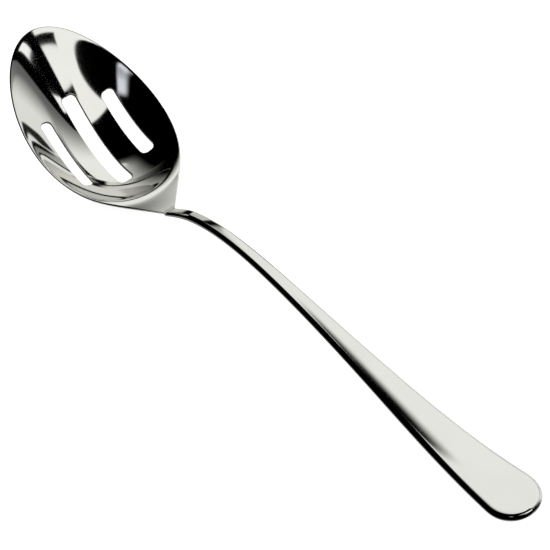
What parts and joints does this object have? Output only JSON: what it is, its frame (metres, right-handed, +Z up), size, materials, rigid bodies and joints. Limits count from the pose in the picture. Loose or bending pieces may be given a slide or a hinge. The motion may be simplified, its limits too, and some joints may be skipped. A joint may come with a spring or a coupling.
{
  "type": "slotted serving spoon",
  "caption": "Long steel serving spoon with a deep egg-shaped slotted bowl and a slender arched handle that widens to a rounded end.",
  "frame": {"origin": "on the table, below the middle of the spoon's length and width as it rests", "axes": "+X from the bowl towards the end of the handle, +Y across the spoon, +Z up from the table"},
  "size_m": [0.2998, 0.0642, 0.0488],
  "materials": {
    "bowl_steel": "mirror polished stainless steel sheet",
    "handle_steel": "mirror polished stainless steel forging",
    "weld_steel": "ground and polished stainless steel weld"
  },
  "bodies": {
    "root": {"bowl": "bowl_steel", "handle": "handle_steel", "neck_weld": "weld_steel"}
  },
  "joints": []
}
